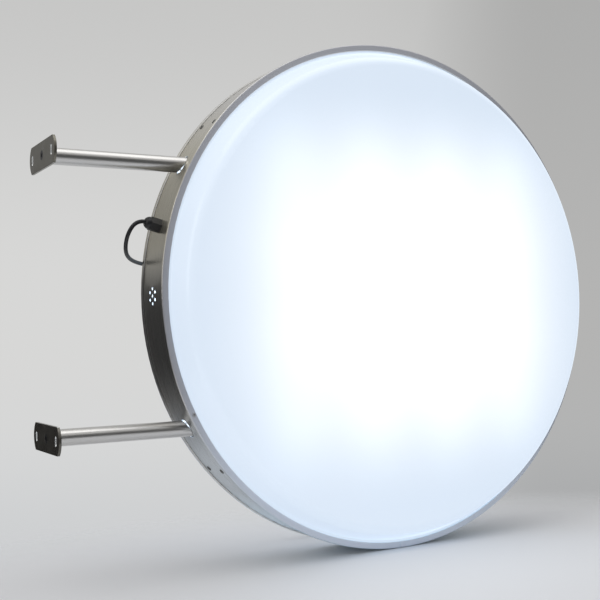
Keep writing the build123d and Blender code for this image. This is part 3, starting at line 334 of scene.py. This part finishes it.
def coated(name, base, roughness, skin=900.0):
    """Paint, plastic or rubber with a fine skin texture and a slight variation of tone."""
    graph = Surface(name)
    cloud = graph.noise(22.0, 4.0)
    graph.set(base_color=graph.vary(cloud, base, 0.05),
              roughness=graph.spread(cloud, roughness * 0.85, roughness * 1.2))
    graph.bump(graph.noise(skin, 2.0), SKIN_DEPTH)
    return graph.material


def phosphor(name):
    """The LED chips' yellow coating, lit."""
    graph = Surface(name)
    graph.set(base_color=graph.vary(graph.noise(400.0, 2.0), (0.85, 0.75, 0.30), 0.04),
              roughness=0.4, emission_color=(0.92, 0.96, 1.0, 1), emission_strength=6.0)
    return graph.material


def clear_lens(name):
    graph = Surface(name)
    graph.set(base_color=graph.vary(graph.noise(60.0, 2.0), (0.9, 0.93, 0.97), 0.02),
              roughness=0.08, ior=1.49, transmission_weight=0.9)
    return graph.material


# ---- Disc steel -----------------------------------------------------------------------------
# painted reflection and light: the steel's tone by height above the disc's middle, warm above, cool and
# pale below, where the table lights it
PAINTED_REFLECTION_REACH = 0.30
PAINTED_REFLECTION_TONES = [
    (-0.27, (0.78, 0.90, 0.98)), (-0.235, (0.60, 0.645, 0.68)), (-0.17, (0.60, 0.635, 0.665)),
    (-0.12, (0.60, 0.59, 0.575)), (0.0, (0.60, 0.59, 0.575)), (0.06, (0.62, 0.59, 0.50)),
    (0.17, (0.62, 0.59, 0.50)), (0.24, (0.60, 0.59, 0.57)),
]
# the rims' flat faces: satin, with a painted reflection of the lit table that makes them paler low down
SATIN, SATIN_PAINTED_TABLE_REFLECTION = (0.55, 0.555, 0.595), (0.74, 0.79, 0.88)
SATIN_STEP = (-0.08, -0.25)
SATIN_ROUGHER = 0.12
# the rims' faces towards the band carry a painted reflection: dark round the height of the band's dark
# zone, pale away from it
PAINTED_DARK_REFLECTION, PAINTED_PALE_REFLECTION = (0.12, 0.12, 0.12), (0.95, 0.94, 0.92)
PAINTED_DARK_HEIGHT = -0.045
PAINTED_DARK_STEP = (0.055, 0.135)


def disc_steel(name, satin_faces):
    """Stainless strip brushed round the disc, with painted reflection and light in its tone by height.
    The rims' flat faces have a duller finish and painted reflections of their own.
    """
    graph = Surface(name)
    lines = graph.grain(AROUND_DISC)
    height = graph.split(graph.place)["Z"]
    # painted reflection and light: the steel's tone follows its height
    share = graph.spread(height, 0.0, 1.0, (-PAINTED_REFLECTION_REACH, PAINTED_REFLECTION_REACH))
    stops = [(0.5 + 0.5 * place / PAINTED_REFLECTION_REACH, colour) for place, colour in PAINTED_REFLECTION_TONES]
    steel = graph.vector("SCALE", graph.ramp(share, *stops), graph.spread(lines, 0.92, 1.08, (0.3, 0.7)))
    roughness = graph.spread(lines, 0.26, 0.34)
    if satin_faces:
        flat = graph.math("GREATER_THAN", graph.absolute(graph.split(graph.normal())["Y"]), 0.75)
        inner = graph.inner_side()
        # painted reflection of the lit table on the flat faces, paler low down
        satin = graph.mix(graph.smooth(height, *SATIN_STEP), SATIN, SATIN_PAINTED_TABLE_REFLECTION)
        # painted reflection on the faces towards the band: dark at the band's dark zone, pale elsewhere
        away = graph.absolute(graph.subtract(height, PAINTED_DARK_HEIGHT))
        painted_lip_reflection = graph.mix(graph.smooth(away, *PAINTED_DARK_STEP), PAINTED_DARK_REFLECTION, PAINTED_PALE_REFLECTION)
        steel = graph.mix(flat, steel, graph.mix(inner, satin, painted_lip_reflection))
        dull = graph.multiply(flat, graph.add(0.5, graph.multiply(inner, 0.5)))
        graph.set(metallic=graph.subtract(1.0, dull))
        roughness = graph.add(roughness, graph.multiply(flat, SATIN_ROUGHER))
    else:
        graph.set(metallic=1.0)
        graph.bump(lines, GRAIN_DEPTH)
    tangent = graph.node("Tangent")
    tangent.direction_type = "RADIAL"
    tangent.axis = "Y"
    graph.set(base_color=steel, roughness=roughness, anisotropic=0.75, anisotropic_rotation=0.25,
              tangent=tangent.outputs["Tangent"])
    return graph.material


# ---- Plate steel ----------------------------------------------------------------------------
SLOT_ZONE = 0.043                # a plate's slots lie nearer to its middle than this
# the slots' bare cut walls, painted brighter than bare steel as a highlight
SLOT_WALL_BARE_AND_HIGHLIGHT = (0.85, 0.86, 0.86)


def plate_steel(name, base):
    """Dark plate steel, with bare cut walls in its slots that are painted brighter as a highlight."""
    graph = Surface(name)
    cloud = graph.noise(40.0, 4.0)
    normal = graph.split(graph.normal())
    across = graph.math("LESS_THAN", graph.absolute(normal["X"]), 0.3)
    near = graph.math("LESS_THAN", graph.absolute(graph.split(graph.place)["Y"]), SLOT_ZONE)
    not_level = graph.math("LESS_THAN", graph.absolute(normal["Z"]), 0.985)
    wall = graph.multiply(across, near, not_level)
    # the slot walls get a painted highlight colour
    graph.set(metallic=0.85, roughness=graph.spread(cloud, 0.26, 0.36),
              base_color=graph.mix(wall, graph.vary(cloud, base, 0.16), SLOT_WALL_BARE_AND_HIGHLIGHT))
    graph.bump(graph.noise(900.0, 2.0), GRAIN_DEPTH, 0.4)
    return graph.material


# ---- Lit acrylic ----------------------------------------------------------------------------
# the glow's strength at the face's edge, and what the pool, its core and each LED add to it
EDGE, POOL, CORE, SPOTS = 0.632, 0.21, 0.14, 0.10
EDGE_LIGHT = (0.69, 0.825, 1.0)
POOL_LIGHT = (0.92, 0.957, 1.0)
POOL_STEP = (0.272, 0.09)        # distances from the pool's middle, which lies beside the disc's
CORE_STEP = (0.15, 0.0)
POOL_X = 0.012
POOL_SQUEEZE = 0.82              # the pool's height as a share of its width
POOL_POWER = 3.0                 # 2 would make it an ellipse; more makes it squarer
LED_COLUMNS = [-0.171, -0.057, 0.057, 0.171]
LED_ROWS = [-0.156, -0.052, 0.052, 0.156]
LED_WIDTH, LED_HEIGHT = 0.045, 0.060
# what the inner side adds, which shows through the vents and, weaker, round the arms
INSIDE, INSIDE_FALL = 2.2, 1.3
FALL_STEP = (0.10, 0.15)


def opal(name):
    """Opal acrylic lit from behind: a wide pool of white light that falls off to a cool edge."""
    graph = Surface(name)
    split = graph.split(graph.vector("SUBTRACT", graph.place, CENTRE))
    x, z = split["X"], split["Z"]

    def lobe(value, place, width):
        away = graph.math("DIVIDE", graph.subtract(value, place), width)
        return graph.math("EXPONENT", graph.multiply(away, away, -1.0))

    columns = graph.add(*[lobe(x, place, LED_WIDTH) for place in LED_COLUMNS])
    rows = graph.add(*[lobe(z, place, LED_HEIGHT) for place in LED_ROWS])
    spots = graph.multiply(columns, rows)
    across = graph.multiply(graph.subtract(x, POOL_X), POOL_SQUEEZE)
    wide = graph.math("POWER", graph.absolute(across), POOL_POWER)
    tall = graph.math("POWER", graph.absolute(z), POOL_POWER)
    distance = graph.math("POWER", graph.add(wide, tall), 1 / POOL_POWER)
    pool = graph.smooth(distance, *POOL_STEP)
    core = graph.smooth(distance, *CORE_STEP)
    strength = graph.add(graph.multiply(pool, POOL), graph.multiply(core, CORE),
                         graph.multiply(spots, SPOTS), EDGE)
    fall = graph.multiply(graph.smooth(graph.absolute(z), *FALL_STEP), INSIDE_FALL)
    inside = graph.multiply(graph.inner_side(), graph.subtract(INSIDE, fall))
    graph.set(base_color=graph.vary(graph.noise(9.0, 3.0), (0.42, 0.435, 0.45), 0.01),
              roughness=0.22, ior=1.49, emission_strength=graph.add(strength, inside),
              emission_color=graph.ramp(pool, (0.0, EDGE_LIGHT), (1.0, POOL_LIGHT)))
    graph.bump(graph.noise(3.0, 2.0), 0.0006, 0.3)
    return graph.material


# ---- Which slot gets which material ---------------------------------------------------------
# The panel, strips, white plastics and thin leads are darker than real ones: the glow falls on them.
MATERIALS = {
    "band": disc_steel("stainless_strip", False),
    "rim": disc_steel("satin_rim", True),
    "opal": opal("opal_acrylic"),
    "seal": coated("black_foam", (0.03, 0.03, 0.03), 0.85),
    "screw": brushed("zinc_screw", (0.60, 0.60, 0.61), 0.36, EVEN, metallic=0.75),
    "plate_screw": brushed("black_oxide_screw", (0.11, 0.11, 0.115), 0.42, EVEN),
    "inner_steel": brushed("galvanised_steel", (0.58, 0.59, 0.60), 0.42, SPANGLE, 0.12),
    "rivet": brushed("rivet_aluminium", (0.16, 0.16, 0.155), 0.42, EVEN),
    "tube": brushed("tube_stainless", (0.66, 0.65, 0.635), 0.30, ALONG_TUBE, 0.02, TUBE_GRAIN_DEPTH),
    # one plate steel: painted light makes the upper plate lighter, painted shade makes the lower plate
    # darker
    "upper_plate": plate_steel("upper_plate_steel_painted_light", (0.190, 0.180, 0.152)),
    "lower_plate": plate_steel("lower_plate_steel_painted_shade", (0.150, 0.143, 0.128)),
    "gland": coated("black_nylon", (0.014, 0.014, 0.016), 0.38),
    "lead": coated("black_pvc", (0.012, 0.013, 0.015), 0.36),
    "thin_lead": coated("white_pvc", (0.55, 0.55, 0.55), 0.45),
    "plug": coated("moulded_pvc", (0.016, 0.016, 0.018), 0.48, skin=1500.0),
    "pin": brushed("nickelled_pin", (0.72, 0.68, 0.58), 0.24, AROUND_PIN),
    "panel": coated("white_panel", (0.36, 0.365, 0.37), 0.42),
    "strip": coated("white_solder_mask", (0.60, 0.605, 0.60), 0.35),
    "chip": phosphor("led_phosphor"),
    "white_plastic": coated("white_nylon", (0.50, 0.50, 0.48), 0.45),
    "driver": brushed("driver_extrusion", (0.68, 0.69, 0.70), 0.36, ALONG_DRIVER),
    "driver_cap": coated("driver_end_cap", (0.05, 0.05, 0.055), 0.5),
    "board": coated("circuit_board", (0.03, 0.16, 0.06), 0.42),
    "lens": clear_lens("clear_lens"),
}


def dress(piece, slot):
    if not piece.material_slots:
        piece.data.materials.append(None)
    for place in piece.material_slots:
        place.link = "OBJECT"
        place.material = MATERIALS[slot]


for part in frame["record"]["subparts"]:
    dress(frame["nodes"][part["node"]], part["material_slot"])
dress(lead, "lead")


# ---- Floor ----------------------------------------------------------------------------------
FLOOR_HALF = 3.0
FLOOR_DROP = 0.0002              # below the disc's lowest point
FADE_MIDDLE = (0.26, -0.25, FLOOR_Z)
FADE_SHAPE = (1.0, 1.45, 1.0)
FADE_STEP = (0.95, 0.60)


def add_floor():
    """A pale table top that fades out round the object, sooner behind it than in front."""
    mesh = bpy.data.meshes.new("floor")
    corners = [(-FLOOR_HALF, -FLOOR_HALF), (FLOOR_HALF, -FLOOR_HALF),
               (FLOOR_HALF, FLOOR_HALF), (-FLOOR_HALF, FLOOR_HALF)]
    mesh.from_pydata([(x, y, FLOOR_Z - FLOOR_DROP) for x, y in corners], [], [(0, 1, 2, 3)])
    floor = bpy.data.objects.new("floor", mesh)
    bpy.context.scene.collection.objects.link(floor)
    graph = Surface("floor_paper")
    away = graph.vector("MULTIPLY", graph.vector("SUBTRACT", graph.place, FADE_MIDDLE), FADE_SHAPE)
    graph.set(base_color=graph.vary(graph.noise(3.0, 2.0), (0.74, 0.745, 0.76), 0.01),
              roughness=0.6, alpha=graph.smooth(graph.vector("LENGTH", away), *FADE_STEP))
    mesh.materials.append(graph.material)


# ---- World ----------------------------------------------------------------------------------
# Heights and ranges are parts of a unit direction.
AMBIENT = (0.56, 0.56, 0.56, 1)
WARM, COOL = (1.0, 1.0, 0.99), (0.955, 0.978, 1.0)
COOL_STEP = (0.0, -0.26)
# the backdrop's strength, and how much is taken off it to one side behind the disc, high up and low down
BACKDROP = 0.68
SIDEWAYS, SIDE_STEP = (0.868, -0.497, 0.0), (0.02, 0.24)
BEHIND, BEHIND_STEP = (0.497, 0.867, 0.036), (0.70, 0.90)
SIDE, HIGH, LOW = 0.225, 0.115, 0.042
HIGH_STEP, LOW_STEP = (0.05, 0.36), (-0.08, -0.20)
BOTH = 0.3                       # the share of the lesser that counts where the first two overlap
# what glossy metal sees before the backdrop: a dim room round the front, and a corner beside the wall
ROOM, ROOM_BOTTOM, ROOM_TOP, ROOM_FRONT = 0.88, (-0.50, -0.30), (0.52, 0.34), (0.25, -0.35)
CORNER, CORNER_BOTTOM, CORNER_TOP, CORNER_SIDE = 0.97, (-0.50, -0.42), (0.20, 0.08), (0.08, -0.08)
HAZE, HAZE_TOP = 0.45, (0.55, 0.40)          # the corner's paler upper part


def backdrop(graph, direction, height):
    side = graph.smooth(graph.vector("DOT_PRODUCT", direction, SIDEWAYS), *SIDE_STEP)
    behind = graph.smooth(graph.vector("DOT_PRODUCT", direction, BEHIND), *BEHIND_STEP)
    darker = graph.multiply(side, behind, SIDE)
    high = graph.multiply(graph.smooth(height, *HIGH_STEP), HIGH)
    low = graph.multiply(graph.smooth(height, *LOW_STEP), LOW)
    strength = graph.subtract(graph.subtract(BACKDROP, low), graph.math("MAXIMUM", darker, high))
    return graph.subtract(strength, graph.multiply(graph.math("MINIMUM", darker, high), BOTH))


def room(graph, split):
    """The share of the backdrop that is left in reflections."""
    height = split["Z"]
    level = graph.multiply(graph.smooth(height, *ROOM_BOTTOM), graph.smooth(height, *ROOM_TOP))
    front = graph.multiply(graph.smooth(split["Y"], *ROOM_FRONT), ROOM)
    upper = graph.math("MAXIMUM", graph.smooth(height, *CORNER_TOP),
                       graph.multiply(graph.smooth(height, *HAZE_TOP), HAZE))
    belt = graph.multiply(graph.smooth(height, *CORNER_BOTTOM), upper)
    corner = graph.multiply(belt, graph.multiply(graph.smooth(split["X"], *CORNER_SIDE), CORNER))
    return graph.multiply(graph.subtract(1.0, graph.multiply(level, front)),
                          graph.subtract(1.0, corner))


def add_world():
    """A pale backdrop for the camera and reflections, and an even light for everything else."""
    world = bpy.data.worlds.new("studio")
    bpy.context.scene.world = world
    world.use_nodes = True
    world.node_tree.nodes.clear()
    graph = Graph(world.node_tree)
    direction = graph.coordinates["Generated"]
    split = graph.split(direction)
    height = split["Z"]
    rays = graph.node("LightPath").outputs
    glossy = rays["Is Glossy Ray"]
    dimming = graph.subtract(1.0, graph.multiply(glossy, graph.subtract(1.0, room(graph, split))))
    seen = graph.node("Background")
    graph.feed(seen.inputs["Color"], graph.mix(graph.smooth(height, *COOL_STEP), WARM, COOL))
    graph.feed(seen.inputs["Strength"], graph.multiply(backdrop(graph, direction, height), dimming))
    ambient = graph.node("Background")
    graph.feed(ambient.inputs["Color"], AMBIENT)
    direct = graph.math("MAXIMUM", rays["Is Camera Ray"], rays["Is Transmission Ray"])
    mix = graph.node("MixShader")
    graph.feed(mix.inputs["Fac"], graph.math("MAXIMUM", direct, glossy))
    graph.feed(mix.inputs[1], ambient.outputs[0])
    graph.feed(mix.inputs[2], seen.outputs[0])
    graph.feed(graph.node("OutputWorld").inputs["Surface"], mix.outputs[0])


# ---- Lights ---------------------------------------------------------------------------------
def add_light(name, place, size, power):
    """A rectangular soft box that faces the disc's middle."""
    data = bpy.data.lights.new(name, "AREA")
    data.shape = "RECTANGLE"
    data.size, data.size_y = size
    data.energy = power
    light = bpy.data.objects.new(name, data)
    light.location = place
    light.rotation_mode = "QUATERNION"
    light.rotation_quaternion = (CENTRE - Vector(place)).to_track_quat("-Z", "Y")
    bpy.context.scene.collection.objects.link(light)


add_floor()
add_world()
add_light("overhead", (CENTRE.x, -0.4, 2.2), (3.4, 1.8), 20.5)
add_light("left_fill", (-2.2, -0.6, 0.9), (1.4, 1.8), 9.0)

bpy.context.scene.view_settings.view_transform = "Standard"
